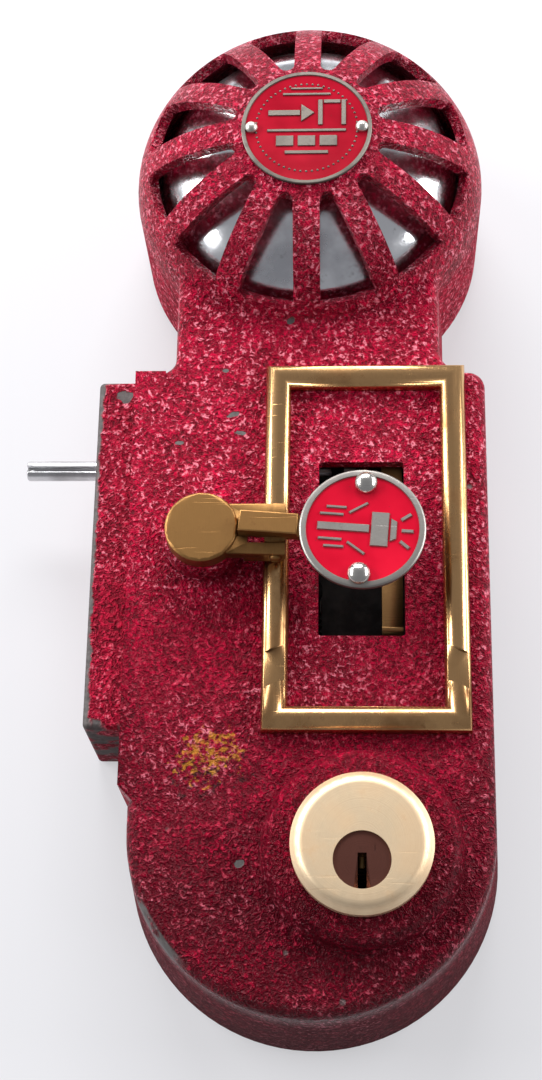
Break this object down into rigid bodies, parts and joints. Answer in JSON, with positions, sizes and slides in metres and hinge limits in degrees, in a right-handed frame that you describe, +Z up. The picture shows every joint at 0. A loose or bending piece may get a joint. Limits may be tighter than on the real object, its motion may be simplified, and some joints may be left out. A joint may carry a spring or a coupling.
{
  "type": "exit lock with alarm bell",
  "caption": "Door-mounted emergency exit lock with a domed alarm bell, a framed break-glass window, a striker disc, a key cylinder and a sliding bolt at the side.",
  "frame": {"origin": "centre of the four door fixing holes, on the back face that lies on the door", "axes": "+X to the right as seen from the room, +Y into the door, +Z up towards the bell"},
  "size_m": [0.1183, 0.0605, 0.2608],
  "materials": {
    "red_paint": "crimson wrinkle enamel, glossy",
    "red_enamel": "bright red enamel, glossy",
    "brass": "brushed, tarnished",
    "dark_brass": "dull, as rolled",
    "worn_brass": "dull, scratched",
    "pale_brass": "satin, worn",
    "nickel": "satin nickel plate",
    "bronze": "dark, worn",
    "steel": "turned and brushed",
    "dark_steel": "blackened",
    "spring_steel": "blued wire",
    "zinc": "zinc plated",
    "gong_metal": "nickel plated, polished",
    "chrome": "bright"
  },
  "bodies": {
    "lock": {"main_cover": "red_paint", "base_plate": "zinc", "door_nuts": "zinc", "cover_screws": "zinc", "bolt_guide_block": "red_paint", "block_screws": "dark_steel", "guide_bracket": "zinc", "bracket_rivets": "steel", "crank_post": "steel", "crank_clip": "spring_steel", "bolt_spring": "spring_steel", "spring_post": "steel", "cylinder_body": "pale_brass", "cylinder_ring_nut": "dark_brass", "driver_pins": "dark_brass", "pin_springs": "spring_steel", "slide_studs": "steel", "striker_post": "worn_brass", "striker_nut": "zinc", "hinge_pin": "worn_brass", "glass_frame": "brass", "frame_nuts": "dark_brass", "trip_pin": "steel", "trip_spring": "spring_steel", "nameplate": "red_enamel", "nameplate_rivets": "nickel", "gong": "gong_metal", "gong_post": "steel", "gong_nut": "zinc", "movement_rear_plate": "dark_brass", "movement_front_plate": "dark_brass", "rear_spacers": "dark_brass", "plate_pillars": "dark_brass", "pillar_screws": "steel"},
    "striker": {"striker_arm": "worn_brass", "strike_disc": "red_enamel", "disc_screws": "chrome"},
    "trip": {"trip_lever": "dark_brass"},
    "bolt": {"bolt_rod": "steel", "bolt_carriage": "dark_steel", "carriage_pin": "steel"},
    "crank": {"bolt_crank": "dark_steel"},
    "plug": {"key_plug": "bronze", "key_pins": "dark_brass", "cylinder_cam": "dark_brass", "cam_screws": "dark_brass"},
    "reset": {"reset_slide": "zinc"},
    "barrel": {"spring_barrel": "dark_brass", "barrel_lid": "dark_brass", "mainspring": "spring_steel"},
    "escape": {"escape_wheel": "dark_brass"},
    "hammer": {"hammer_arm": "steel", "hammer_head": "steel"},
    "arbor": {"barrel_arbor": "steel", "ratchet_wheel": "steel"},
    "click": {"winding_click": "steel"}
  },
  "joints": [
    {"name": "striker_swing", "type": "hinge", "parent": "lock", "child": "striker", "pos_m": [-0.0068, -0.0447, 0.0012], "axis": [0, 0, 1], "range_deg": [0, 13]},
    {"name": "trip_swing", "type": "hinge", "parent": "lock", "child": "trip", "pos_m": [0.0208, -0.025, 0.031], "axis": [-1, 0, 0], "range_deg": [0, 8]},
    {"name": "bolt_slide", "type": "slide", "parent": "lock", "child": "bolt", "axis": [1, 0, 0], "range_m": [0, 0.017], "stiffness_N_per_m": 400, "springref_m": -0.006},
    {"name": "crank_turn", "type": "hinge", "parent": "lock", "child": "crank", "pos_m": [-0.013, -0.01, -0.006], "axis": [0, 1, 0], "range_deg": [0, 41.7], "deforming": ["bolt_spring"]},
    {"name": "plug_turn", "type": "hinge", "parent": "lock", "child": "plug", "pos_m": [0.0134, -0.03, -0.0772], "axis": [0, -1, 0], "range_deg": [0, 70]},
    {"name": "reset_slide_rise", "type": "slide", "parent": "lock", "child": "reset", "axis": [0, 0, 1], "range_m": [0, 0.01148]},
    {"name": "barrel_turn", "type": "hinge", "parent": "lock", "child": "barrel", "pos_m": [-0.0155, -0.01, 0.092], "axis": [0, 1, 0], "continuous": true},
    {"name": "escape_turn", "type": "hinge", "parent": "lock", "child": "escape", "pos_m": [0.00172, -0.01, 0.08397], "axis": [0, 1, 0], "continuous": true},
    {"name": "hammer_swing", "type": "hinge", "parent": "lock", "child": "hammer", "pos_m": [0.0145, -0.01, 0.082], "axis": [0, 1, 0], "range_deg": [-5, 6]},
    {"name": "arbor_turn", "type": "hinge", "parent": "lock", "child": "arbor", "pos_m": [-0.0155, -0.01, 0.092], "axis": [0, 1, 0], "continuous": true},
    {"name": "click_swing", "type": "hinge", "parent": "lock", "child": "click", "pos_m": [-0.004, -0.021, 0.098], "axis": [0, 1, 0], "range_deg": [0, 10]}
  ],
  "couplings": [
    {"joint": "crank_turn", "follows": "bolt_slide", "rad_per_m": 42.587},
    {"joint": "reset_slide_rise", "follows": "plug_turn", "m_per_rad": 0.00939},
    {"joint": "escape_turn", "follows": "barrel_turn", "ratio": -2.8571}
  ]
}
